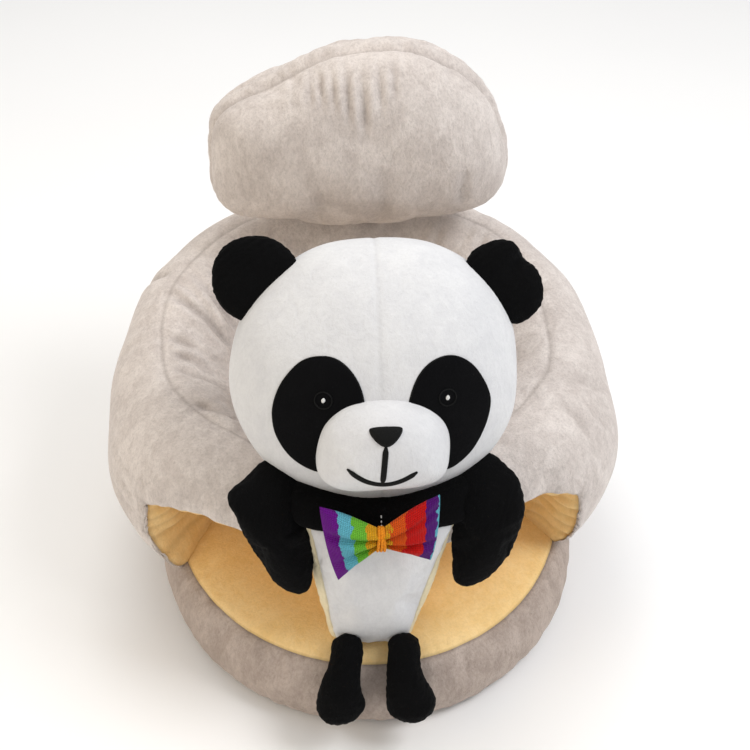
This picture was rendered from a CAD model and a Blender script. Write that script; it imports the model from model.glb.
"""Looks of the plush sit-up seat with the stuffed panda: shapes in millimetres, scene in metres."""
from math import asin, copysign, cos, exp, pi, radians, sin, sqrt
import bpy
import numpy as np
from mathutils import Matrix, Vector
from mathutils.bvhtree import BVHTree
from mathutils.kdtree import KDTree


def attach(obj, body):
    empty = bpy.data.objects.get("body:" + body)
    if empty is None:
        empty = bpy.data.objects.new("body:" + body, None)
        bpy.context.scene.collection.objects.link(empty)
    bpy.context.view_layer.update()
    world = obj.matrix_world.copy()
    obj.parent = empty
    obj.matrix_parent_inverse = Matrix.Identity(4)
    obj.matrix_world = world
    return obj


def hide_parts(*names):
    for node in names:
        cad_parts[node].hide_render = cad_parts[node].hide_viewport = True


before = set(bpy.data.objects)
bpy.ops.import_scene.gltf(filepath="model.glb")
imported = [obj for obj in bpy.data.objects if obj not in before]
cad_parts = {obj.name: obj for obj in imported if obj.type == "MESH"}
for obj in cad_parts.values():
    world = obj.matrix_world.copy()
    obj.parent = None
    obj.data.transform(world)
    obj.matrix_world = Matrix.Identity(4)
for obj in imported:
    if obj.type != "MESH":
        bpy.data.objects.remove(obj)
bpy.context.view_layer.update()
scene = bpy.context.scene
MM = 0.001
LEFT, RIGHT = -1, 1
SIDE = {LEFT: "left", RIGHT: "right"}


def new_object(name, data):
    obj = bpy.data.objects.new(name, data)
    scene.collection.objects.link(obj)
    return obj


# ---- camera
AZIMUTH, ELEVATION, DISTANCE = radians(-3), radians(38), 1.3
TARGET = Vector((0.004, 0.002, 0.232))
TO_CAMERA = Vector((sin(AZIMUTH) * cos(ELEVATION), -cos(AZIMUTH) * cos(ELEVATION), sin(ELEVATION)))
camera = new_object("camera", bpy.data.cameras.new("camera"))
camera.data.lens = 64.8
camera.data.sensor_width = 36
camera.location = TARGET + TO_CAMERA * DISTANCE
camera.rotation_euler = (-TO_CAMERA).to_track_quat("-Z", "Y").to_euler()
scene.camera = camera


# ---- numbers and curves
def turns(count):
    """The angles of count even steps round a circle."""
    return np.linspace(0, 2 * pi, count, endpoint=False)


def smoothstep(x):
    x = np.clip(x, 0, 1)
    return x * x * (3 - 2 * x)


def unit(v):
    v = np.asarray(v, float)
    return v / np.maximum(np.linalg.norm(v, axis=-1, keepdims=True), 1e-9)


def waves(seed, count=6):
    """A smooth, fixed noise: a sum of plane waves in random directions, about -1 to 1."""
    rng = np.random.default_rng(seed)
    directions = unit(rng.normal(size=(count, 3))) * rng.uniform(0.7, 1.5, (count, 1))
    phases = rng.uniform(0, 2 * pi, count)

    def at(points, size):
        angle = np.asarray(points) @ directions.T * (2 * pi / size) + phases
        return np.sin(angle).sum(axis=1) / sqrt(count)

    return at


def spline(p, first, last):
    """Dense points of a smooth curve from p[first] to p[last]; the points are read as a ring."""
    t = np.linspace(0, 1, 24, endpoint=False)[:, None]
    pieces = []
    for i in range(first, last):
        a, b, c, d = (p[(i + step) % len(p)] for step in (-1, 0, 1, 2))
        pieces.append(0.5 * (2 * b + (c - a) * t + (2 * a - 5 * b + 4 * c - d) * t**2
                             + (3 * b - a - 3 * c + d) * t**3))
    return np.vstack(pieces)


def closed_curve(points, count):
    """A smooth closed curve through a few points, cut into count even steps."""
    p = np.asarray(points, float)
    dense = spline(p, 0, len(p))
    return even_steps(np.vstack([dense, dense[:1]]), count + 1)[:-1]


def open_curve(points, count):
    """A smooth open curve through a few points, with count points at even steps."""
    p = np.asarray(points, float)
    p = np.vstack([2 * p[0] - p[1], p, 2 * p[-1] - p[-2]])
    return even_steps(np.vstack([spline(p, 1, len(p) - 2), p[-2:-1]]), count)


def even_steps(dense, count):
    length = np.concatenate([[0], np.cumsum(np.linalg.norm(np.diff(dense, axis=0), axis=1))])
    wanted = np.linspace(0, length[-1], count)
    return np.stack([np.interp(wanted, length, dense[:, k]) for k in range(dense.shape[1])], axis=1)


def outline_radius(name, centre=(0, 0)):
    """Radius of a named outline about its centre as a function of the direction."""
    dense = closed_curve(np.transpose(OUTLINES[name]) - centre, 720)
    angle = np.arctan2(dense[:, 1], dense[:, 0])
    order = np.argsort(angle)
    angle, radius = angle[order], np.hypot(dense[:, 0], dense[:, 1])[order]
    angle = np.concatenate([angle - 2 * pi, angle, angle + 2 * pi])
    radius = np.tile(radius, 3)
    return lambda theta: np.interp(theta, angle, radius)


def oval(half_x, half_y, power):
    """Radius of a superellipse as a function of the direction."""
    return lambda theta: (np.abs(np.cos(theta) / half_x) ** power
                          + np.abs(np.sin(theta) / half_y) ** power) ** (-1 / power)


# ---- meshes as numbers
STRIP = ("strip_u", "strip_v")


def numbers(items, key, width=1, kind=np.float32):
    """A property of every item of a Blender collection."""
    values = np.empty(len(items) * width, kind)
    items.foreach_get(key, values)
    return values.reshape(-1, width) if width > 1 else values


class Skin:
    """Vertices in millimetres, faces, the kind of each face, and how much each vertex is seam."""

    def __init__(self, verts, faces, kinds=None, seam=None):
        self.verts = np.asarray(verts, float)
        self.faces = [tuple(int(i) for i in f) for f in faces]
        self.kinds = [0] * len(self.faces) if kinds is None else list(kinds)
        self.seam = np.zeros(len(self.verts)) if seam is None else np.asarray(seam, float)
        self.pinned = np.zeros(len(self.verts), bool)
        self.uv = None

    def mesh(self, name="skin"):
        mesh = bpy.data.meshes.new(name)
        mesh.from_pydata((self.verts * MM).tolist(), [], self.faces)
        mesh.polygons.foreach_set("material_index", self.kinds)
        mesh.polygons.foreach_set("use_smooth", [True] * len(self.faces))
        layers = {"seam": self.seam}
        if self.uv is not None:
            layers.update(zip(STRIP, self.uv.T))
        for layer, values in layers.items():
            attribute = mesh.attributes.new(layer, "FLOAT", "POINT")
            attribute.data.foreach_set("value", values.astype(np.float32))
        mesh.update()
        return mesh

    def move(self, offset):
        """Move every vertex along its normal by offset, in millimetres."""
        mesh = self.mesh()
        normals = numbers(mesh.vertex_normals, "vector", 3).astype(float)
        bpy.data.meshes.remove(mesh)
        self.verts = self.verts + normals * np.asarray(offset)[:, None]


def refined(skin):
    """The skin after one level of Catmull-Clark subdivision."""
    mesh = skin.mesh("refine")
    obj = new_object("refine", mesh)
    modifier = obj.modifiers.new("smooth", "SUBSURF")
    modifier.levels = modifier.render_levels = 1
    graph = bpy.context.evaluated_depsgraph_get()
    smooth = bpy.data.meshes.new_from_object(obj.evaluated_get(graph))
    layers = {layer: numbers(smooth.attributes[layer].data, "value").astype(float)
              for layer in ("seam", *STRIP) if layer in smooth.attributes}
    result = Skin(numbers(smooth.vertices, "co", 3) / MM,
                  [tuple(p.vertices) for p in smooth.polygons],
                  numbers(smooth.polygons, "material_index", 1, np.int32), layers["seam"])
    if STRIP[0] in layers:
        result.uv = np.stack([layers[layer] for layer in STRIP], axis=1)
    bpy.data.objects.remove(obj)
    bpy.data.meshes.remove(mesh)
    bpy.data.meshes.remove(smooth)
    return result


def quads(rows, columns, closed=True):
    """Faces between rows of vertices; closed joins each row's last vertex to its first."""
    steps = [(i, (i + 1) % columns) for i in range(columns if closed else columns - 1)]
    return [(r + i, r + j, r + columns + j, r + columns + i)
            for r in range(0, (rows - 1) * columns, columns) for i, j in steps]


def disc_grid(n):
    """A square grid bent into a disc: radius 0 to 1 and direction of each vertex, faces, rim."""
    index = np.arange((n + 1) ** 2).reshape(n + 1, n + 1)
    a, b = np.meshgrid(np.linspace(-1, 1, n + 1), np.linspace(-1, 1, n + 1))
    a, b = a.ravel(), b.ravel()
    wide = np.abs(a) >= np.abs(b)
    with np.errstate(divide="ignore", invalid="ignore"):
        radius = np.where(wide, a, b)
        turn = np.where(wide, pi / 4 * b / a, pi / 2 - pi / 4 * a / b)
    turn = np.nan_to_num(turn)
    x, y = radius * np.cos(turn), radius * np.sin(turn)
    rim = np.concatenate([index[0, :-1], index[:-1, -1], index[-1, :0:-1], index[:0:-1, 0]])
    return np.hypot(x, y), np.arctan2(y, x), quads(n + 1, n + 1, False), rim


def pillow(outline, front, back, n=32, band=0, band_rows=4, spread=1, fullness=2, crown=2,
           belly=0, kinds=(0, 0, 0)):
    """Two crowned panels on one outline, with a band between them if it is a boxed cushion.

    It lies in x and y, its front faces +z and the middle of its thickness is at z = 0.
    fullness and crown are the powers of the panels' profile, and belly rounds the band outwards.
    """
    radius, turn, faces, rim = disc_grid(n)
    share = np.sin(radius * pi / 2) ** spread
    share = np.where(radius > 0.999, 1, share)
    height = np.maximum(1 - share**fullness, 0) ** (1 / crown)
    edge = outline(turn)
    flat = np.stack([edge * share * np.cos(turn), edge * share * np.sin(turn)], axis=1)
    count = len(radius)
    verts = [np.c_[flat, band / 2 + front * height]]
    back_verts = np.c_[flat, -band / 2 - back * height]
    all_faces = list(faces)
    all_kinds = [kinds[0]] * len(faces)
    seams = [np.zeros(count)]
    seams[0][rim] = 1
    place = np.arange(count)  # where the back panel's vertices are
    if band:
        place += count
        verts.append(back_verts)
        seams.append(seams[0])
        rows = [rim]
        for row in range(1, band_rows):
            t = row / band_rows
            bulge = unit(flat[rim]) * belly * sin(pi * t)
            level = np.full(len(rim), band * (0.5 - t))
            verts.append(np.c_[flat[rim] + bulge, level])
            seams.append(np.zeros(len(rim)))
            rows.append(2 * count + (row - 1) * len(rim) + np.arange(len(rim)))
        rows.append(rim + count)
        for upper, lower in zip(rows, rows[1:]):
            all_faces += zip(upper, lower, np.roll(lower, -1), np.roll(upper, -1))
            all_kinds += [kinds[1]] * len(rim)
    else:
        inner = np.setdiff1d(place, rim)
        place[inner] = count + np.arange(len(inner))
        verts.append(back_verts[inner])
        seams.append(np.zeros(len(inner)))
    all_faces += [tuple(place[i] for i in reversed(f)) for f in faces]
    all_kinds += [kinds[2]] * len(faces)
    return Skin(np.vstack(verts), all_faces, all_kinds, np.concatenate(seams))


def tube(path, sizes, around=28, frame_x=(1, 0, 0)):
    """A closed tube round a path; sizes are half widths along frame_x and across it."""
    path, sizes = np.asarray(path, float), np.asarray(sizes, float)
    frame_x = np.asarray(frame_x, float)
    tangent = unit(np.gradient(path, axis=0))
    side = unit(frame_x - tangent * (tangent @ frame_x)[:, None])
    other = np.cross(tangent, side)
    turn = turns(around)
    rings = [c + np.outer(np.cos(turn) * w, s) + np.outer(np.sin(turn) * h, o)
             for c, s, o, (w, h) in zip(path, side, other, sizes)]
    faces = quads(len(path), around)
    tip = len(path) * around
    for i in range(around):
        j = (i + 1) % around
        faces += [(tip, j, i), (tip + 1, tip - around + i, tip - around + j)]
    return Skin(np.vstack(rings + [path[:1], path[-1:]]), faces)


def placed(skin, origin, axes):
    """The skin moved from its own axes to the object's."""
    skin.verts = skin.verts @ np.array(axes, float) + np.asarray(origin, float)
    return skin


# ---- pieces in the scene
def piece(name, skin, material, body, slot, replaces=(), padded=None, kind=None):
    """One object of the visual model, made of every face or of the faces of one kind."""
    if kind is not None:
        kept = [f for f, k in zip(skin.faces, skin.kinds) if k == kind]
        used = sorted({i for f in kept for i in f})
        number = {v: i for i, v in enumerate(used)}
        faces = [tuple(number[i] for i in f) for f in kept]
        skin = Skin(skin.verts[used], faces, None, skin.seam[used])
    skin.kinds = [0] * len(skin.faces)
    obj = new_object(name, skin.mesh(name))
    obj.data.materials.append(material)
    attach(obj, body)
    if replaces:
        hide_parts(*replaces)


# ---- materials
class Nodes:
    """A short way to write a node material; sockets take a number, a colour or an output."""

    def __init__(self, name):
        self.material = bpy.data.materials.new(name)
        self.material.use_nodes = True
        self.tree = self.material.node_tree
        self.tree.nodes.clear()
        self.shader = self.add("BsdfPrincipled")
        self.add("OutputMaterial", {0: self.shader.outputs[0]})

    def feed(self, socket, value):
        if isinstance(value, tuple):
            socket.default_value = (*value, 1)
        elif isinstance(value, (int, float)):
            socket.default_value = value
        else:
            self.tree.links.new(value, socket)

    def add(self, kind, inputs=(), **settings):
        node = self.tree.nodes.new("ShaderNode" + kind)
        for key, value in settings.items():
            setattr(node, key, value)
        for key, value in dict(inputs).items():
            self.feed(node.inputs[key], value)
        return node

    def coordinates(self, stretch=(1, 1, 1)):
        source = self.add("TexCoord").outputs["Object"]
        if stretch == (1, 1, 1):
            return source
        mapping = self.add("Mapping", {"Vector": source})
        mapping.inputs["Scale"].default_value = stretch
        return mapping.outputs[0]

    def noise(self, size_mm, detail=2, rough=0.5, distort=0, stretch=(1, 1, 1)):
        inputs = {"Scale": 1000 / size_mm, "Detail": detail, "Roughness": rough,
                  "Distortion": distort, "Vector": self.coordinates(stretch)}
        return self.add("TexNoise", inputs).outputs[0]

    def math(self, operation, a, b=0, clamp=False):
        settings = {"operation": operation, "use_clamp": clamp}
        return self.add("Math", {0: a, 1: b}, **settings).outputs[0]

    def weighted(self, a, share_a, b, share_b):
        b = self.math("MULTIPLY", b, share_b)
        return self.math("ADD", self.math("MULTIPLY", a, share_a), b)

    def between(self, value, low, high, out_low=0, out_high=1):
        inputs = {"Value": value, "From Min": low, "From Max": high, "To Min": out_low,
                  "To Max": out_high}
        return self.add("MapRange", inputs, clamp=True).outputs[0]

    def mix(self, factor, a, b, kind="MIX"):
        inputs = {0: factor, 6: a, 7: b}
        return self.add("Mix", inputs, data_type="RGBA", blend_type=kind).outputs[2]

    def attribute(self, name):
        return self.add("Attribute", attribute_name=name).outputs["Fac"]

    def bump(self, height, distance_mm, strength, after=None):
        inputs = {"Strength": strength, "Distance": distance_mm * MM, "Height": height}
        if after is not None:
            inputs["Normal"] = after
        return self.add("Bump", inputs).outputs[0]

    def ramp(self, value, stops, steps="LINEAR"):
        node = self.add("ValToRGB", {0: value})
        node.color_ramp.interpolation = steps
        elements = node.color_ramp.elements
        while len(elements) < len(stops):
            elements.new(0.5)
        for element, (position, colour) in zip(elements, stops):
            element.position = position
            element.color = (*colour, 1)
        return node.outputs[0]

    def shaded(self, colour, value):
        """The colour times a grey of the given value."""
        return self.mix(1, colour, self.ramp(value, [(0, (0, 0, 0)), (1, (1, 1, 1))]), "MULTIPLY")

    def finish(self, colour, normal=None, **sockets):
        """Feed the shader, give the material; roughness=0.9 feeds its Roughness, and so on."""
        self.feed(self.shader.inputs["Base Color"], colour)
        if normal is not None:
            self.feed(self.shader.inputs["Normal"], normal)
        for key, value in sockets.items():
            key = key.replace("_", " ").title().replace("Ior", "IOR")
            self.feed(self.shader.inputs[key], value)
        return self.material


def srgb(r, g, b):
    """A colour as it looks, 0 to 255, made linear."""
    def one(c):
        return c / 12.92 if c <= 0.04045 else ((c + 0.055) / 1.055) ** 2.4
    return one(r / 255), one(g / 255), one(b / 255)


def plush(name, colour, shade, sheen, tint, pile=1, mottle=1, groove=0.55, grainy=1):
    """Short pile: fibre tufts in the bump, brushed patches in the colour, darker in the seams."""
    m = Nodes(name)
    patches = m.noise(46, 3, 0.55, 0.6)
    strokes = m.noise(9, 2, 0.6, 0.8, (1, 1, 0.45))
    tufts = m.noise(2.3, 3, 0.65, 0.3, (1, 1, 0.6))
    fibres = m.noise(0.9, 2, 0.7, 0, (1, 1, 0.5))
    nap = m.between(m.weighted(patches, 0.55, strokes, 0.45), 0.40, 0.62)
    base = m.mix(m.math("MULTIPLY", nap, mottle, clamp=True), shade, colour)
    darkest, lightest = 1 - 0.20 * grainy, 1 + 0.06 * grainy
    grain = m.weighted(tufts, 0.6, fibres, 0.4)
    base = m.shaded(base, m.between(grain, 0.36, 0.64, darkest, lightest))
    depth = m.math("MULTIPLY", m.attribute("seam"), groove, clamp=True)
    base = m.mix(depth, base, m.mix(1, base, (0.30, 0.27, 0.25), "MULTIPLY"))
    normal = None
    for height, distance, strength in ((patches, 5, 0.25), (strokes, 1.6, 0.35),
                                       (tufts, 0.9 * pile, 0.8), (fibres, 0.4 * pile, 0.8)):
        normal = m.bump(height, distance, strength, normal)
    return m.finish(base, normal, roughness=0.92, specular_ior_level=0.12, sheen_weight=sheen,
                    sheen_roughness=0.45, sheen_tint=tint)


GREY = plush("grey_plush", srgb(224, 215, 209), srgb(203, 193, 187), 0.35, srgb(255, 248, 244),
             groove=0.33)
BAND = plush("grey_band_plush", srgb(190, 175, 165), srgb(168, 153, 143), 0.25, srgb(255, 240, 228))
YELLOW = plush("yellow_plush", srgb(250, 218, 160), srgb(243, 207, 143), 0.25, srgb(255, 244, 215),
               0.6, 0.9, 0.45, 0.5)
CREAM = plush("cream_plush", srgb(240, 229, 196), srgb(232, 219, 184), 0.25, srgb(255, 250, 230),
              0.6, 0.9, 0.5, 0.4)
WHITE = plush("white_plush", srgb(222, 222, 223), srgb(213, 213, 215), 0.15, srgb(255, 255, 255),
              0.45, 0.9, 0.10, 0.3)
BLACK = plush("black_plush", srgb(5, 5, 6), srgb(3, 3, 4), 0.012, srgb(170, 175, 185), 1.2)
FELT = plush("black_felt", srgb(7, 7, 9), srgb(4, 4, 6), 0.012, srgb(170, 175, 190), 0.8)


def nonslip():
    """Dark woven bottom with small rubber dots in rows."""
    m = Nodes("nonslip_fabric")
    cells = m.add("TexVoronoi", {"Scale": 1000 / 9, "Randomness": 0,
                                           "Vector": m.coordinates((1, 1, 0))})
    dots = m.between(cells.outputs["Distance"], 0.20, 0.26, 1, 0)
    weave = m.noise(1.1, 1)
    base = m.mix(m.between(weave, 0.35, 0.65), srgb(96, 70, 58), srgb(70, 52, 46))
    base = m.mix(dots, base, srgb(38, 34, 33))
    normal = m.bump(dots, 0.8, 0.9, m.bump(weave, 0.4, 0.8))
    return m.finish(base, normal, roughness=m.between(dots, 0, 1, 0.9, 0.5), specular_ior_level=0.3)


def thread(name, colour):
    """Shiny twisted embroidery thread."""
    m = Nodes(name)
    strands = m.noise(0.7, 1, stretch=(1, 1, 0.3))
    base = m.mix(m.between(strands, 0.3, 0.7), tuple(0.6 * c for c in colour), colour)
    return m.finish(base, m.bump(strands, 0.4, 0.8), specular_ior_level=0.18,
                    roughness=m.between(strands, 0.3, 0.7, 0.55, 0.8))


def knit(name, stops):
    """Striped fine knit: colour bands along the strip, with ribs and stitches."""
    m = Nodes(name)
    along, across = m.attribute("strip_u"), m.attribute("strip_v")
    shift = m.between(m.noise(9, 2, 0.6), 0.3, 0.7, -0.05, 0.05)
    stitches = m.math("SINE", m.math("MULTIPLY", across, 150))
    ribs = m.math("SINE", m.math("MULTIPLY", along, 190))
    place = m.math("ADD", m.math("ADD", along, shift), m.math("MULTIPLY", stitches, 0.006))
    height = m.weighted(ribs, 0.6, stitches, 0.5)
    base = m.shaded(m.ramp(place, stops, "CONSTANT"), m.between(height, -1, 0.9, 0.62, 1.08))
    normal = m.bump(m.noise(0.8, 2, 0.6), 0.4, 0.5, m.bump(height, 0.7, 0.9))
    return m.finish(base, normal, roughness=0.85, specular_ior_level=0.12, sheen_weight=0.05,
                    sheen_roughness=0.5)


NONSLIP = nonslip()
BLACK_THREAD = thread("black_thread", srgb(7, 8, 8))
WHITE_THREAD = thread("white_thread", srgb(240, 240, 238))
YARN = thread("gold_yarn", srgb(244, 150, 30))
PURPLE, SKY, LIME = srgb(118, 14, 150), srgb(110, 200, 222), srgb(120, 205, 60)
GOLD, ORANGE, SCARLET = srgb(240, 176, 30), srgb(244, 96, 22), srgb(222, 22, 18)
VIOLET = srgb(92, 14, 128)
KNIT = {
    LEFT: knit("knit_left", [(0, GOLD), (0.16, LIME), (0.42, SKY), (0.68, PURPLE)]),
    RIGHT: knit("knit_right", [(0, GOLD), (0.09, ORANGE), (0.34, SCARLET), (0.72, VIOLET),
                               (0.95, SKY)]),
}


# ---- seams, gathers and creases
def sew(skin, depth, width, pucker, pitch, reach, seed):
    """Pull the seams in, and let small folds run away from them."""
    points = skin.verts[skin.seam > 0.6]
    tree = KDTree(len(points))
    for i, point in enumerate(points):
        tree.insert(point, i)
    tree.balance()
    found = [tree.find(v) for v in skin.verts]
    distance, nearest = np.array([f[2] for f in found]), points[[f[1] for f in found]]
    ripple = waves(seed)(nearest, pitch) * np.exp(-(distance / reach) ** 1.2)
    groove = depth * np.exp(-(distance / width) ** 2)
    skin.move(pucker * ripple * smoothstep(distance / 3) - groove)
    skin.seam = np.exp(-(distance / 1.6) ** 2)


def crease(skin, path, width, depth, fade=0.35, measure=(1, 1, 1)):
    """A furrow with raised sides along a path, fading at its ends; measure weighs x, y and z."""
    path = np.asarray(path, float) * measure
    verts = skin.verts * measure
    best, along = np.full(len(verts), np.inf), np.zeros(len(verts))
    for i in range(len(path) - 1):
        a, run = path[i], path[i + 1] - path[i]
        t = np.clip((verts - a) @ run / (run @ run), 0, 1)
        distance = np.linalg.norm(verts - (a + t[:, None] * run), axis=1)
        nearer = distance < best
        best[nearer] = distance[nearer]
        along[nearer] = (i + t[nearer]) / (len(path) - 1)
    away = best / width
    ends = smoothstep((np.minimum(along, 1 - along) + 0.06) / fade)
    return depth * ends * (0.25 * np.exp(-((away - 1.9) / 0.9) ** 2) - np.exp(-(away / 0.8) ** 2))


FROM_FRONT = (1, 0, 1)


def soften(skin, size, amount, seed):
    """Uneven filling: slow bumps over the whole piece."""
    skin.move(amount * waves(seed)(skin.verts, size))


# ---- pressure
FRAMES = 20
CLOTH = dict(quality=6, mass=0.25, tension_stiffness=12, compression_stiffness=12,
             shear_stiffness=4, bending_stiffness=0.3, use_pressure=True, vertex_group_mass="sewn")


def inflate(jobs):
    """Blow the soft skins up as cloth, all at once, and cap how far a point may move.

    A job is (skin, pressure, growth, cap); pinned vertices stay where they are sewn.
    """
    objects = []
    for skin, pressure, growth, _ in jobs:
        obj = new_object("cloth", skin.mesh("cloth"))
        group = obj.vertex_groups.new(name="sewn")
        group.add(np.flatnonzero(skin.pinned).tolist(), 1, "REPLACE")
        cloth = obj.modifiers.new("cloth", "CLOTH")
        for key, value in CLOTH.items():
            setattr(cloth.settings, key, value)
        cloth.settings.uniform_pressure_force = pressure
        cloth.settings.shrink_min = -growth
        cloth.settings.effector_weights.gravity = 0
        cloth.collision_settings.use_collision = False
        cloth.point_cache.frame_start, cloth.point_cache.frame_end = 1, FRAMES
        objects.append(obj)
    for number in range(1, FRAMES + 1):
        scene.frame_set(number)
    graph = bpy.context.evaluated_depsgraph_get()
    for obj, (skin, _, _, cap) in zip(objects, jobs):
        step = numbers(obj.evaluated_get(graph).data.vertices, "co", 3) / MM - skin.verts
        length = np.linalg.norm(step, axis=1, keepdims=True)
        skin.verts = skin.verts + step * np.minimum(1, cap / np.maximum(length, 1e-9))
        mesh = obj.data
        bpy.data.objects.remove(obj)
        bpy.data.meshes.remove(mesh)
    scene.frame_set(1)


# ---- base cushion
BASE_CENTRE_X, BASE_HALF_X, BASE_HALF_Y = -5, 207, 235
TOP, SIDES, BOTTOM = 0, 1, 2  # kinds of the base's faces


def base_cushion():
    """Yellow top, grey band and dark bottom; profile from the bottom's middle to the top's."""
    around = 200
    turn = turns(around)
    profile = [(0.62, 0), (0.80, 0), (0.90, 0.2), (0.955, 2), (0.985, 8), (1, 18), (1.006, 30),
               (1.006, 42), (1, 54), (0.985, 64), (0.962, 70.5), (0.937, 73.4), (0.915, 75.2),
               (0.87, 76.6), (0.80, 77.4), (0.72, 77.6), (0.64, 77.4)]
    low_seam, high_seam, last = 3, 11, len(profile) - 1
    oval_x, oval_y = BASE_HALF_X * np.sin(turn), -BASE_HALF_Y * np.cos(turn)
    verts = [np.c_[oval_x * share, oval_y * share, np.full(around, z)] for share, z in profile]
    seam = np.zeros((len(profile), around))
    seam[low_seam], seam[high_seam] = 0.8, 1
    faces = quads(len(profile), around)
    kinds = ([BOTTOM] * low_seam * around + [SIDES] * (high_seam - low_seam) * around
             + [TOP] * (last - high_seam) * around)
    count = len(profile) * around
    radius, direction, grid, rim = disc_grid(around // 4)
    rim = rim[np.argsort(np.mod(direction[rim] + pi / 2, 2 * pi), kind="stable")]
    inner = np.setdiff1d(np.arange(len(radius)), rim)
    for kind, row, crown in ((TOP, last, 0.4), (BOTTOM, 0, 0)):
        share, z = profile[row]
        x = BASE_HALF_X * share * radius * np.cos(direction)
        y = BASE_HALF_Y * share * radius * np.sin(direction)
        place = np.empty(len(radius), int)
        place[rim] = row * around + np.arange(around)
        place[inner] = count + np.arange(len(inner))
        verts.append(np.c_[x, y, z + crown * (1 - radius**2)][inner])
        count += len(inner)
        faces += [tuple(place[i] for i in (f if kind == TOP else reversed(f))) for f in grid]
        kinds += [kind] * len(grid)
    seam = np.concatenate([seam.ravel(), np.zeros(2 * len(inner))])
    skin = Skin(np.vstack(verts), faces, kinds, seam)
    skin.verts[:, 0] += BASE_CENTRE_X
    skin.pinned = (skin.verts[:, 2] < 1.5) | (skin.seam > 0.5)
    return skin


# ---- ring bolster
RING_CENTRE = np.array([-8, 22])
WALL_OUTER, WALL_INNER = {LEFT: 62, RIGHT: 59}, 86  # end of a leg opening, degrees from the front
WALL_SOFT = 1.4  # half of the angle over which the section changes there
FLOOR, BRIDGE_FLOOR, HEM = 77, 158, 64  # heights: seat, bridge's underside, edge of the cover
FOOT, SIDE_REACH, SIDE_WIDTH = 58, 251, 138
MOUTH_TOP = {  # height of the leg opening's upper edge at angles from the front, degrees
    LEFT: ([0, 12, 36, 46, 55, 62], [158, 160, 176, 178, 170, 156]),
    RIGHT: ([0, 12, 40, 48, 54, 59], [158, 160, 180, 181, 172, 156]),
}
CREST_SHIFT = ([-180, -140, -100, -72, -45, -15, 15, 45, 75, 180],
               [0, -0.05, -0.16, -0.05, 0.25, 0.3, 0.3, 0.22, 0, 0])
CREST_ROW, ARC, CHORD = 27, 54, 12  # steps of a section to its crest, over the top, underneath
OUTSIDE, LINED = 0, 1  # kinds of the ring's faces


def ring_section(angle):
    """Centre radius and height, half width and half height of the bolster at an angle, degrees."""
    a = np.radians(angle)
    along, across = np.cos(a), np.sin(a)
    ahead = along >= 0
    reach = np.where(ahead, 195, 240)
    width = np.where(ahead, 112, 130)
    top = np.where(ahead, 211 * along**2 + 235 * across**2, 235 + 77 * np.abs(along))
    half_width = (width * along**2 + SIDE_WIDTH * across**2) / 2
    power = np.where(ahead, 2.15, 2.75)
    outside = np.abs(across / SIDE_REACH) ** power + np.abs(along / reach) ** power
    outside = outside ** (-1 / power)
    return outside - half_width, (top + FOOT) / 2, half_width, (top - FOOT) / 2


def in_plan(angle, radius):
    """Point at an angle from the front, degrees, and a radius about the ring's centre."""
    a = radians(angle)
    return RING_CENTRE + np.array([radius * sin(a), -radius * cos(a)])


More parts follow.
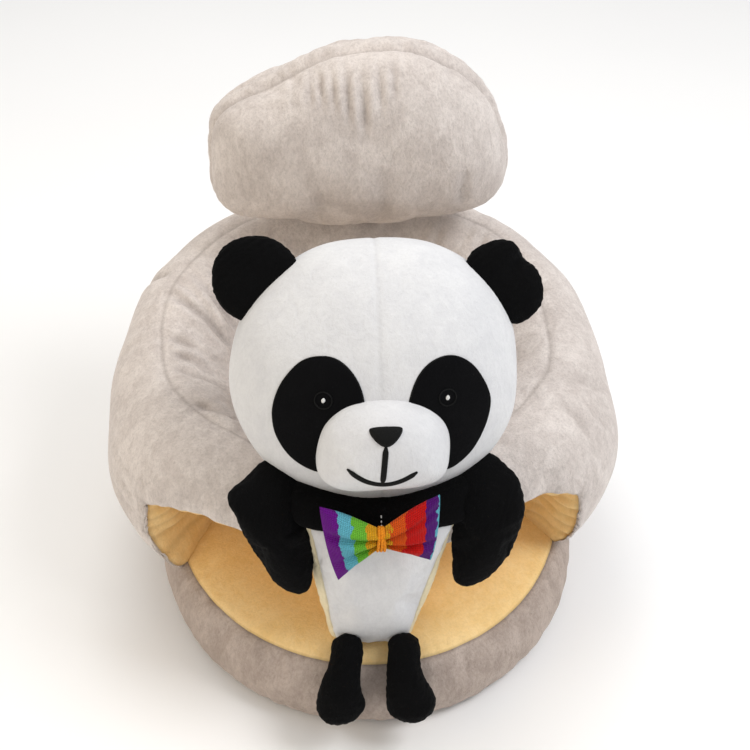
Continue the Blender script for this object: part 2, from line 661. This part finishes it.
def ring_bolster():
    """Loops round the bolster; under the bridge in front they are the openings' lining."""
    halves = {}
    for side in SIDE:
        walls = WALL_OUTER[side] + np.linspace(-WALL_SOFT, WALL_SOFT, 25)
        front = np.linspace(0, walls[0], 32)[1:-1]
        back = np.linspace(walls[-1], 180, 82)[1:-1]
        halves[side] = np.concatenate([front, walls, back])
    outer_angles = np.concatenate([[0], halves[RIGHT], [180], -halves[LEFT][::-1]])
    verts, closed, bridge = [], [], []
    for outer_angle in outer_angles:
        size = abs(outer_angle)
        side = LEFT if outer_angle < 0 else RIGHT
        wall = WALL_OUTER[side]
        share = size / wall if size <= wall else 1 - float(smoothstep((size - wall) / 70))
        inner_angle = copysign(size + (WALL_INNER - wall) * share, outer_angle)
        radius, _, half_width, _ = ring_section(outer_angle)
        outer = in_plan(outer_angle, radius + half_width)
        radius, _, half_width, _ = ring_section(inner_angle)
        inner = in_plan(inner_angle, radius - half_width)
        _, height, _, half_height = ring_section((outer_angle + inner_angle) / 2)
        rise = float(np.clip((wall + WALL_SOFT - size) / (2 * WALL_SOFT), 0, 1))
        flare = float(smoothstep((size - 12) / 40))
        floor_out = HEM + (float(np.interp(size, *MOUTH_TOP[side])) - HEM) * rise
        floor_in = FLOOR + (BRIDGE_FLOOR - 4 * flare - FLOOR) * rise
        middle, reach = (outer + inner) / 2, (outer - inner) / 2
        low_out, low_in = (asin(max(-1, min(1, (floor - height) / half_height)))
                           for floor in (floor_out, floor_in))
        crest_at = pi / 2 + float(np.interp(outer_angle, *CREST_SHIFT))
        sweep = [*np.linspace(low_out, crest_at, CREST_ROW + 1),
                 *np.linspace(crest_at, pi - low_in, ARC - CREST_ROW + 1)[1:]]
        full = [cos(p) ** 0.8 if p < 0 else cos(p) for p in sweep]
        section = [np.array([*(middle + reach * f), height + half_height * sin(p)])
                   for f, p in zip(full, sweep)]
        start, end = section[-1], section[0]
        sag = 0 if rise < 0.5 else 3
        for t in np.arange(1, CHORD) / CHORD:
            drop = np.array([0, 0, sag * sin(pi * t)])
            section.append(start + (end - start) * t - drop)
        verts.append(np.array(section))
        closed.append(rise < 0.5)
        bridge.append(size <= wall + WALL_SOFT + 0.01)
    loops, per = len(outer_angles), ARC + CHORD
    bridge = np.array(bridge)
    faces, kinds = [], []
    for r, s in enumerate(np.roll(np.arange(loops), -1)):
        for i in range(per):
            j = (i + 1) % per
            faces.append((r * per + i, s * per + i, s * per + j, r * per + j))
            kinds.append(LINED if bridge[r] and bridge[s] and i >= ARC else OUTSIDE)
    seam = np.zeros((loops, per))
    seam[:, CREST_ROW] = 1
    seam[np.ix_(bridge, [0, ARC])] = 0.9
    seam[bridge & ~(np.roll(bridge, 1) & np.roll(bridge, -1)), ARC:] = 0.9
    pinned = np.zeros((loops, per), bool)
    pinned[closed, ARC + 1:] = True
    pinned[:, [0, ARC]] = True
    skin = Skin(np.vstack(verts), faces, kinds, seam.ravel())
    skin.pinned = pinned.ravel()
    x, y, z = (skin.verts - np.array([*RING_CENTRE, 0])).T
    bearing = np.degrees(np.arctan2(x, -y))
    shear = np.radians(-7) * (1 - smoothstep((z - FLOOR) / 32))
    shear *= np.exp(-((bearing + 60) / 18) ** 2)
    shear *= smoothstep((np.hypot(x, y) - 120) / 60)
    skin.verts[:, 0] = x * np.cos(shear) + y * np.sin(shear) + RING_CENTRE[0]
    skin.verts[:, 1] = y * np.cos(shear) - x * np.sin(shear) + RING_CENTRE[1]
    return skin


def on_bolster(angle, lean):
    """Point of the bolster's surface, lean radians inwards from its top."""
    radius, height, half_width, half_height = ring_section(angle)
    plan = in_plan(angle, radius - half_width * sin(lean))
    return np.array([*plan, height + half_height * cos(lean)])


BOLSTER_FOLDS = (  # angle and inward lean at the start and at the end, then width and depth
    (-124, -0.15, -117, 0.95, 5, 2.6), (-118, -0.1, -112, 0.7, 4, 1.6),
    (-113, -0.15, -109, 1, 5.5, 3), (-99, -0.15, -98, 0.95, 5, 2.8), (-94, -0.1, -91, 0.9, 4, 1.8),
    (-88, 0, -84, 0.9, 5, 2.2), (-74, 0.1, -58, 0.75, 5.5, 2.4), (-122, -1, -121, -0.3, 7, 2),
    (-100, -1, -97, -0.45, 8, 1.4), (-148, 0.1, -141, 0.8, 5, 2.6), (137, 0, 131, 0.9, 5, 2.8),
    (148, 0.1, 150, 0.9, 5, 2.2), (99, 0.3, 97, 0.95, 4.5, 2.4), (84, -0.9, 80, -0.3, 7, 1.8),
    (75, -1.15, 73, -0.6, 6, 1.6), (112, -0.2, 108, 0.7, 5, 2), (120, 0, 117, 0.8, 5, 1.8),
    (66, -0.9, 70, -0.2, 8, 1.4), (-65, -1.2, -80, -1.1, 4, 1.3), (-65, -1.45, -77, -1.3, 4, 1.3),
    (-65, -1.7, -75, -1.55, 4, 1.3), (62, -1.35, 73, -1.2, 4, 1.3), (62, -1.6, 71, -1.5, 4, 1.3),
)


# ---- the other soft shapes
HEAD_CENTRE = np.array([0, -106, 322])
LEAN = radians(25)
HEAD_FORWARD = np.array([0, -cos(LEAN), sin(LEAN)])
HEAD_UP = np.array([0, sin(LEAN), cos(LEAN)])
ACROSS = np.array([1, 0, 0])
FACE = (ACROSS, HEAD_UP, HEAD_FORWARD)
UPRIGHT = (ACROSS, (0, 0, 1), (0, -1, 0))


OUTLINES = {  # the points that the cut of a piece runs through: sideways, then upwards
    "head": (
        [2, 48, 88, 114, 122, 116, 92, 50, 0, -52, -95, -120, -127, -115, -87, -46],
        [114, 108, 84, 48, 6, -42, -80, -107, -117, -108, -82, -42, 2, 48, 84, 108]),
    "muzzle": (
        [0, 30, 50, 57, 53, 36, 0, -36, -52, -54, -48, -30],
        [38, 34, 18, -6, -28, -39, -43, -40, -30, -8, 17, 34]),
    "headrest": (
        [22, 60, 94, 119, 133, 142, 140, 127, 104, 60, 10, -40, -92,
         -127, -143, -149, -147, -138, -116, -80, -50, -20],
        [90, 84, 66, 42, 14, -18, -48, -70, -81, -88, -94, -94, -85,
         -76, -60, -30, 4, 27, 43, 60, 74, 86]),
    "torso": (
        [0, 34, 59, 54, 45, 35, 27, 20, -8, -38, -45, -49, -54, -58, -60, -34],
        [228, 229, 231, 208, 178, 140, 103, 86, 82, 86, 103, 140, 178, 208, 229, 229]),
    "yoke": (
        [0, 34, 62, 77, 80, 70, 58, 34, 0, -34, -58, -70, -80, -77, -62, -34],
        [245, 249, 258, 256, 242, 230, 226, 221, 218, 221, 226, 230, 242, 256, 258, 249]),
    "ear_left": (
        [-1, 19, 34, 38, 26, 6, -12, -25, -34, -36, -32, -20],
        [38, 34, 20, 4, -20, -34, -34, -26, -12, 4, 20, 33]),
    "ear_right": (
        [-18, -4, 8, 15, 19, 28, 34, 33, 24, 10, -12, -30, -34, -29],
        [33, 37, 35, 27, 19, 12, -3, -18, -30, -36, -32, -14, 8, 25]),
    "arm_left": (
        [-98, -116, -131, -125, -114, -98, -86, -73, -63, -59, -61, -67, -72, -84],
        [132, 116, 100, 82, 55, 20, 5, 0, 8, 30, 60, 90, 116, 132]),
    "arm_right": (
        [92, 110, 120, 121, 115, 99, 85, 71, 62, 60, 60, 62, 72],
        [132, 118, 98, 76, 46, 18, 6, 2, 12, 40, 70, 100, 124]),
    "patch_left": (
        [9, 24, 36, 41, 38, 22, 3, -20, -34, -38, -35, -26, -10],
        [56, 50, 34, 12, -18, -42, -51, -40, -20, 0, 18, 36, 52]),
    "patch_right": (
        [-6, 8, 21, 32, 34, 28, 15, -6, -26, -38, -39, -32, -21],
        [54, 51, 40, 20, 4, -18, -40, -53, -40, -14, 10, 34, 48]),
    "nose": (
        [-13, 0, 13, 14.5, 11, 5, 0, -5, -11, -14.5],
        [6, 7, 6, 3, -3, -8.5, -10, -8.5, -3, 3]),
}


def head_point(x, z, forward=0):
    return HEAD_CENTRE + ACROSS * x + HEAD_UP * z + HEAD_FORWARD * forward


def head_skin():
    skin = pillow(outline_radius("head"), 80, 80, n=44)
    x, depth = skin.verts[:, 0], skin.verts[:, 2]
    skin.seam = np.where((np.abs(x) < 0.6) & (depth > -12), 1, 0)
    return placed(skin, HEAD_CENTRE, FACE)


def muzzle_skin():
    skin = pillow(outline_radius("muzzle"), 46, 8, n=30, fullness=2.3)
    skin.seam[:] = 0
    return placed(skin, head_point(0, -43, 62), FACE)


def ear_skin(side):
    skin = pillow(outline_radius(f"ear_{SIDE[side]}"), 13, 13, n=24, fullness=2.4, crown=1.7)
    x, y = skin.verts[:, 0], skin.verts[:, 1]
    skin.verts[:, 2] += 5 * ((x / 40) ** 2 + (y / 42) ** 2) - 2.5
    if side == RIGHT:
        fold = np.exp(-((0.62 * (x - 15) - 0.78 * (y - 20)) / 6) ** 2) * smoothstep((x + y) / 30)
        skin.verts[:, 2] -= 8 * fold
    middle = head_point(-101, 82, 8) if side == LEFT else head_point(108, 74, 8)
    return placed(skin, middle, FACE)


def headrest_skin():
    skin = pillow(outline_radius("headrest"), 54, 42, n=44, band=24, spread=0.9,
                  fullness=2.5, belly=5)
    skin.verts[skin.seam > 0.5, :2] *= 0.98
    skin.verts[:, 2] -= 2
    return placed(skin, (0, 172, 403), UPRIGHT)


HEADREST_PLEATS = (  # x, length, width, depth
    (-50, 22, 3, 1.6), (-40, 24, 3, 1.8), (-29, 30, 3.2, 2.2), (-16, 48, 3.6, 2.6),
    (-2, 62, 4.2, 3), (14, 40, 3.6, 2.2), (28, 26, 3.4, 1.6), (-66, 18, 3, 1.2),
)
HEADREST_DENTS = (  # x, top, bottom, width, depth
    (98, 392, 342, 5, 3.2), (20, 400, 330, 12, 2.2), (-42, 380, 322, 12, 1.6),
)


def headrest_edge(x):
    """Height of the headrest's upper edge over x."""
    return 400 + float(np.interp(x, [-149, -138, -116, -80, -50, -20, 22, 60, 94, 119, 142],
                                 [0, 27, 43, 60, 74, 86, 89, 83, 66, 42, -18]))


ARM_LINE = open_curve([(-203, 152), (-199, 180), (-194, 208), (-189, 232), (-178, 248), (-156, 261),
                       (-138, 264)], 160)


def arm_skin(side):
    """A flat paddle laid along a line that runs up the front and over the bolster."""
    middle = np.array([side * 92, 66])
    outline = outline_radius(f"arm_{SIDE[side]}", middle)
    skin = pillow(outline, 16, 14, n=28, fullness=2.3, crown=1.8)
    x, along, depth = skin.verts[:, 0] + middle[0], skin.verts[:, 1] + middle[1], skin.verts[:, 2]
    steps = np.linalg.norm(np.diff(ARM_LINE, axis=0), axis=1)
    length = np.concatenate([[0], np.cumsum(steps)])
    ahead = unit(np.gradient(ARM_LINE, axis=0))
    y, z, dy, dz = (np.interp(along, length, column) for column in (*ARM_LINE.T, *ahead.T))
    past = along - np.clip(along, 0, length[-1])
    depth = depth * (1 - 0.3 * smoothstep((along - 85) / 45))
    skin.verts = np.c_[x, y + dy * past - dz * depth, z + dz * past + dy * depth]
    return skin


def leg_skin(side):
    out = {LEFT: (31, 33, 36, 39, 40, 39, 37), RIGHT: (18, 18, 18, 19, 22, 25, 27)}[side]
    route = [(-206, 93), (-222, 93), (-236, 88), (-245, 75), (-249, 61), (-251, 48), (-252, 38)]
    path = open_curve([(side * x, y, z) for x, (y, z) in zip(out, route)], 30)
    t = np.linspace(0, 1, 30)
    stops = [0, 0.3, 0.55, 0.8, 1]
    width = np.interp(t, stops, [14, 15, 18, 22.5, 22])
    depth = np.interp(t, stops, [12, 12.5, 14, 17, 17])
    foot, root = np.clip((t - 0.80) / 0.2, 0, 1), np.clip((0.10 - t) / 0.1, 0, 1)
    rounding = np.maximum(np.sqrt(1 - foot**2) * np.sqrt(1 - root**2), 0.06)
    return tube(path, np.c_[width * rounding, depth * rounding])


def torso_skin():
    skin = pillow(outline_radius("torso", (0, 160)), 11, 4, band=24, band_rows=5,
                  spread=0.85, fullness=3, belly=9, kinds=(0, 1, 1))
    return placed(skin, (0, -189, 160), UPRIGHT)


def yoke_skin():
    """The black chest, which bends back under the chin and reaches behind both arms."""
    skin = pillow(outline_radius("yoke", (0, 236)), 8, 8, n=28, band=16, band_rows=3,
                  spread=0.85, fullness=3)
    placed(skin, (0, -191, 236), UPRIGHT)
    skin.verts[:, 1] += 0.055 * np.maximum(skin.verts[:, 2] - 228, 0) ** 1.7
    return skin


def divider_skin():
    skin = pillow(oval(44, 43, 4), 42, 42, n=24, fullness=5, crown=3)
    skin.seam[:] = 0
    skin.verts[:, 0] *= 1 + 0.12 * skin.verts[:, 2] / 42
    return placed(skin, (0, -131, 117), np.eye(3))


# ---- every soft piece is shaped
base, ring, head, muzzle = base_cushion(), ring_bolster(), head_skin(), muzzle_skin()
headrest, torso, yoke, divider = headrest_skin(), torso_skin(), yoke_skin(), divider_skin()
arms, legs, ears = (
    {side: shape(side) for side in SIDE} for shape in (arm_skin, leg_skin, ear_skin))

for soft in (headrest, torso, *arms.values()):
    soft.pinned = soft.seam > 0.5
inflate([(base, 2, 0.015, 5), (ring, 3, 0.02, 8), (headrest, 3, 0.02, 8),
         *((skin, 2, 0.02, 4) for skin in (torso, arms[LEFT], arms[RIGHT]))])

base, ring, head, muzzle, headrest, torso, yoke, divider = (
    refined(skin) for skin in (base, ring, head, muzzle, headrest, torso, yoke, divider))
arms, legs, ears = (
    {side: refined(skin) for side, skin in pair.items()} for pair in (arms, legs, ears))

sew(base, 1.6, 4, 1, 19, 22, 3)
base.verts[:, 2] = np.maximum(base.verts[:, 2], 0)

soften(ring, 120, 2, 5)
sew(ring, 1.8, 5, 1.2, 17, 30, 4)
folds = np.zeros(len(ring.verts))
for first, lean, last, end_lean, width, depth in BOLSTER_FOLDS:
    path = [on_bolster(first + (last - first) * t, lean + (end_lean - lean) * t)
            for t in np.linspace(0, 1, 9)]
    folds += crease(ring, path, width, 2 * depth)
corners = {kind: {i for f, k in zip(ring.faces, ring.kinds) if k == kind for i in f}
           for kind in (OUTSIDE, LINED)}
lining = np.array(sorted(corners[LINED] - corners[OUTSIDE]))
z = ring.verts[lining, 2]
rumple = 1.5 * np.sin(z * 2 * pi / 14 + 1.3 * waves(31)(ring.verts[lining], 60))
folds[lining] += rumple * smoothstep((z - FLOOR - 3) / 12) * smoothstep((BRIDGE_FLOOR + 2 - z) / 14)
ring.move(folds)
ring.seam = np.maximum(ring.seam, np.clip(-folds / 4, 0, 0.9))

soften(headrest, 90, 1.5, 6)
sew(headrest, 1.8, 4, 0.5, 12, 24, 8)
folds = np.zeros(len(headrest.verts))
for x, length, width, depth in HEADREST_PLEATS:
    path = [(x + 0.05 * t, 0, headrest_edge(x) - t) for t in np.linspace(-4, length, 5)]
    folds += crease(headrest, path, width, 1.3 * depth, 0.5, FROM_FRONT)
for x, top, bottom, width, depth in HEADREST_DENTS:
    path = [(x, 0, top), (x - 3, 0, (top + bottom) / 2), (x - 1, 0, bottom)]
    folds += crease(headrest, path, width, depth, 0.35, FROM_FRONT)
folds *= smoothstep((162 - headrest.verts[:, 1]) / 6)  # the back stays as it is
headrest.move(folds)
headrest.seam = np.maximum(headrest.seam, np.clip(-folds / 4, 0, 0.7))

soften(head, 110, 0.8, 7)
sew(head, 0.7, 2.6, 0.2, 14, 12, 9)
soften(muzzle, 50, 0.6, 10)
sew(torso, 1, 3.5, 0.5, 11, 14, 11)
sew(yoke, 0.6, 3, 0.3, 9, 10, 12)
for side in SIDE:
    soften(arms[side], 45, 0.8, 13 + side)
    sew(arms[side], 0.3, 3, 0.3, 10, 12, 16 + side)
    soften(legs[side], 30, 0.6, 19 + side)
    sew(ears[side], 0.4, 3, 0.25, 9, 10, 22 + side)
    for seed, soft in enumerate((arms[side], legs[side], ears[side])):
        soften(soft, 6, 0.32, 40 + seed)

piece("base_top", base, YELLOW, "seat", "plush_yellow", ["base_top_panel", "base_filling"], 0.6,
      TOP)
piece("base_band", base, BAND, "seat", "plush_grey", ["base_side_band"], 0.6, SIDES)
piece("base_bottom", base, NONSLIP, "seat", "nonslip_fabric", ["base_bottom_panel"], 0.6, BOTTOM)
piece("bolster", ring, GREY, "seat", "plush_grey",
      ["backrest_outer_cover", "backrest_inner_cover", "backrest_filling"], 0.75, OUTSIDE)
piece("leg_opening_lining", ring, YELLOW, "seat", "plush_yellow",
      ["leg_opening_lining_left", "leg_opening_lining_right"], 0.5, LINED)
piece("divider", divider, YELLOW, "seat", "plush_yellow",
      ["divider_cover_left", "divider_cover_right", "divider_filling"], 0.7)
piece("headrest", headrest, GREY, "headrest", "plush_grey",
      ["headrest_front_panel", "headrest_gusset", "headrest_back_panel", "headrest_filling"], 0.7)
piece("head", head, WHITE, "head", "plush_white",
      ["head_face_left", "head_face_right", "head_back_panel", "head_filling"], 0.9)
piece("muzzle", muzzle, WHITE, "head", "plush_white", ["muzzle_panel", "muzzle_filling"], 0.9)
piece("belly", torso, WHITE, "seat", "plush_white", ["belly_panel", "torso_filling"], 0.6, 0)
piece("belly_side_strip", torso, CREAM, "seat", "plush_cream", [], 0.6, 1)
piece("chest_yoke_cover", yoke, BLACK, "seat", "plush_black", ["chest_yoke"], 0.6)
for side, word in SIDE.items():
    for limb, skin, parts, fill in (("arm", arms[side], ("cover", "filling"), 0.7),
                                    ("leg", legs[side], ("cover", "filling"), 0.7),
                                    ("ear", ears[side], ("front", "back", "filling"), 0.5)):
        name = f"{limb}_{word}"
        piece(name, skin, BLACK, name, "plush_black", [f"{name}_{part}" for part in parts], fill)


# ---- things sewn on the face
def joined(skins):
    """Several skins as one."""
    faces, start = [], 0
    for skin in skins:
        faces += [tuple(i + start for i in f) for f in skin.faces]
        start += len(skin.verts)
    return Skin(np.vstack([skin.verts for skin in skins]), faces)


def surface(*skins):
    """A tree that answers where a line meets the given skins."""
    skin = joined(skins)
    return BVHTree.FromPolygons([Vector(v) for v in skin.verts], skin.faces)


def on_face(tree, points, lift=0):
    """Points (x, z) of the face's plane, dropped on the surface along its direction."""
    result = []
    for x, z in points:
        hit = tree.ray_cast(Vector(head_point(x, z, 300)), Vector(-HEAD_FORWARD))
        result.append(np.array(hit[0]) + np.array(hit[1]) * lift)
    return np.array(result)


def patch_on(tree, outline, centre, height, n, edge=0.12):
    """A flat applique that follows the surface: raised in the middle, tucked in at its edge."""
    radius, turn, faces, _ = disc_grid(n)
    reach = outline(turn) * radius
    points = np.c_[reach * np.cos(turn), reach * np.sin(turn)] + np.asarray(centre)
    raise_by = height * smoothstep((1 - radius) / edge + 0.35) - np.where(radius > 0.999, 3, 0)
    ground = on_face(tree, points)
    normals = on_face(tree, points, 1) - ground
    return refined(Skin(ground + normals * raise_by[:, None], faces))


STITCHED = (BLACK_THREAD, "head", "thread_black")
PATCH_AT = {LEFT: (-53, -24), RIGHT: (58, -25)}
EYE_AT = {LEFT: (-47, -6.5), RIGHT: (53.5, -8)}
head_tree = surface(head)
muzzle_tree = surface(head, muzzle)
for side, word in SIDE.items():
    patch = patch_on(head_tree, outline_radius(f"patch_{word}"), PATCH_AT[side], 1.6, 28)
    piece(f"eye_patch_cover_{word}", patch, FELT, "head", "felt_black", [f"eye_patch_{word}"])
    tree = surface(patch)
    border = closed_curve(np.transpose(OUTLINES[f"patch_{word}"]), 72) * 0.94 + PATCH_AT[side]
    path = on_face(tree, np.vstack([border, border[:1]]), 0.1)
    stitches = tube(path, [(0.8, 0.6)] * len(path), 8)
    piece(f"eye_patch_stitches_{word}", stitches, *STITCHED)
    eye_x, eye_z = EYE_AT[side]
    path = on_face(tree, [(eye_x + 7 * cos(a), eye_z + 7 * sin(a))
                          for a in np.linspace(0, 2 * pi, 33)], 0.25)
    piece(f"eye_ring_{word}", tube(path, [(0.6, 0.6)] * len(path), 8), *STITCHED,
          [f"eye_outline_{word}"])
    path = on_face(tree, [(eye_x + 0.25 * z, eye_z + z) for z in np.linspace(-2, 2, 7)], 0.3)
    sizes = [(1.7 * sin(t), 0.9 * sin(t)) for t in np.linspace(0.35, pi - 0.35, 7)]
    piece(f"eye_spot_{word}", tube(path, sizes, 10), WHITE_THREAD, "head", "thread_white",
          [f"eye_highlight_{word}"])

nose = patch_on(muzzle_tree, outline_radius("nose"), (1.5, -29), 3, 16, 0.7)
piece("nose_satin_stitch", nose, *STITCHED, ["nose"])
smile = [(x - 2, -71.5 + 12.5 * (x / 28) ** 2 - 0.08 * x) for x in np.linspace(-28, 28, 31)]
line = [(1 + 0.09 * (z + 39), z) for z in np.linspace(-38, -71, 17)]
for name, points, broad_side, replaced in (("mouth_smile", smile, (0, 0, 1), ["mouth"]),
                                           ("mouth_line", line, (1, 0, 0), [])):
    path = on_face(muzzle_tree, points, 0.2)
    from_start = np.arange(len(path))
    ends = np.clip(np.minimum(from_start, from_start[::-1]) / 1.5, 0.5, 1)
    skin = refined(tube(path, np.c_[2.7 * ends, 1.1 * ends], 8, broad_side))
    piece(name, skin, *STITCHED, replaced)

yoke_tree = surface(yoke)
stitches = []
for z in (230, 233.5, 237, 240.5):
    path = [yoke_tree.ray_cast(Vector((-1.5, -400, z + dz)), Vector((0, 1, 0)))[0]
            for dz in np.linspace(-0.9, 0.9, 4)]
    stitches.append(tube(np.array(path), [(0.3, 0.3), (0.6, 0.5), (0.6, 0.5), (0.3, 0.3)], 8))
piece("yoke_stitches", joined(stitches), WHITE_THREAD, "seat", "thread_white")


# ---- bow
BOW_CENTRE = np.array([-3, -224, 236])
WING_TOP, WING_BOTTOM = {LEFT: (-50, 38), RIGHT: (48, 47)}, {LEFT: (-36, -46), RIGHT: (42, -26)}
WING_FOLDS = {  # place across the strip, how it turns along the strip, width
    LEFT: ((0.30, 0.05, 0.11), (-0.42, -0.2, 0.13)),
    RIGHT: ((-0.30, -0.1, 0.12), (0.55, 0.25, 0.12)),
}


def wing_point(side, u, v, layer):
    """Point of the strip: u from the knot outwards, v from -1 to 1 across, layer 1 or -1."""
    t = (v + 1) / 2
    edge = np.array(WING_BOTTOM[side]) * (1 - t) + np.array(WING_TOP[side]) * t
    edge = edge + np.array([side * 2.5 * (1 - v * v), 0])
    waist = np.array([side * 1.5, 10.5 * v])
    x, z = waist + (edge - waist) * u**0.85
    depth = (1 - u) * 3 * cos(3.2 * pi * v) + 2 * sin(2.3 * v + 3 * u)
    for place, turn, wide in WING_FOLDS[side]:
        away = (v - place - turn * (u - 0.5)) / wide
        fold = exp(-away**2) - 0.45 * exp(-((abs(away) - 1.8) ** 2))
        depth -= 5 * u**0.3 * (1 - u) ** 0.4 * fold
    puff = 6.5 * sin(pi * min(1, u * 0.95 + 0.05)) ** 0.7 * (1 - v**4) ** 0.5
    hem = 1.1 * (1 - smoothstep((abs(v) - 0.94) / 0.06))
    return x, -(depth + layer * (puff + hem)), z


def bow_wing(side):
    """A folded strip of knit: narrow and pleated at the knot, wide at the outer edge."""
    along, across = 34, 40
    steps = 2 * np.arange(across + 1) / across - 1
    uv = [(u, v) for u in np.arange(along + 1) / along for v in steps]
    verts = [wing_point(side, u, v, layer) for layer in (1, -1) for u, v in uv]
    row = across + 1
    size = (along + 1) * row
    front = [(a, d, c, b) for a, b, c, d in quads(along + 1, row, False)]
    back = [tuple(i + size for i in reversed(f)) for f in front]
    rim = [i * row for i in range(along + 1)] + [along * row + j for j in range(1, row)]
    rim += [i * row + across for i in range(along - 1, -1, -1)] + list(range(across - 1, 0, -1))
    sides = [(a + size, b + size, b, a) for a, b in zip(rim, rim[1:] + rim[:1])]
    faces = front + back + sides
    skin = Skin(verts, faces if side == RIGHT else [f[::-1] for f in faces])
    skin.verts = skin.verts + BOW_CENTRE
    skin.uv = np.array(uv + uv)
    return refined(skin)


for side, word in SIDE.items():
    piece(f"bow_{word}", bow_wing(side), KNIT[side], "bow", "knit_rainbow",
          [f"bow_{word}_wing"], 0.2)

loops = []
turn = turns(28)
for k, x in enumerate(np.linspace(-2.2, 2.2, 3)):
    path = BOW_CENTRE + np.c_[
        x + 0.8 * np.sin(turn + k), -7.5 * np.cos(turn), 11.5 * np.sin(turn)]
    loops.append(tube(np.vstack([path, path[:1]]), [(1.3, 1.3)] * 29, 8))
piece("bow_knot_yarn", joined(loops), YARN, "bow", "knit_orange", ["bow_knot"])


# ---- floor, light and finish
mesh = bpy.data.meshes.new("floor")
mesh.from_pydata([(-6, -6, 0), (6, -6, 0), (6, 6, 0), (-6, 6, 0)], [], [(0, 1, 2, 3)])
m = Nodes("floor")
white = m.mix(m.noise(400), srgb(250, 250, 250), srgb(246, 246, 246))
mesh.materials.append(m.finish(white, roughness=0.9, specular_ior_level=0.1))
new_object("floor", mesh)
scene.world = bpy.data.worlds.new("studio")
scene.world.use_nodes = True
background = scene.world.node_tree.nodes["Background"]
background.inputs["Color"].default_value = (1, 1, 1, 1)
background.inputs["Strength"].default_value = 0.60
for name, place, size, power, colour in (
    ("key", (1.3, -0.5, 2), 0.9, 24, (0.97, 0.98, 1)),
    ("warm", (-1.7, -0.9, 1.1), 1.4, 10, (1, 0.80, 0.52)),
    ("top", (-0.3, 0.9, 2.3), 1.2, 16, (1, 0.98, 0.95)),
):
    data = bpy.data.lights.new(name, "AREA")
    data.size, data.energy, data.color = size, power, colour
    light = new_object(name, data)
    light.location = place
    towards = Vector((0, 0, 0.2)) - Vector(place)
    light.rotation_euler = towards.to_track_quat("-Z", "Y").to_euler()
scene.view_settings.view_transform = "Standard"
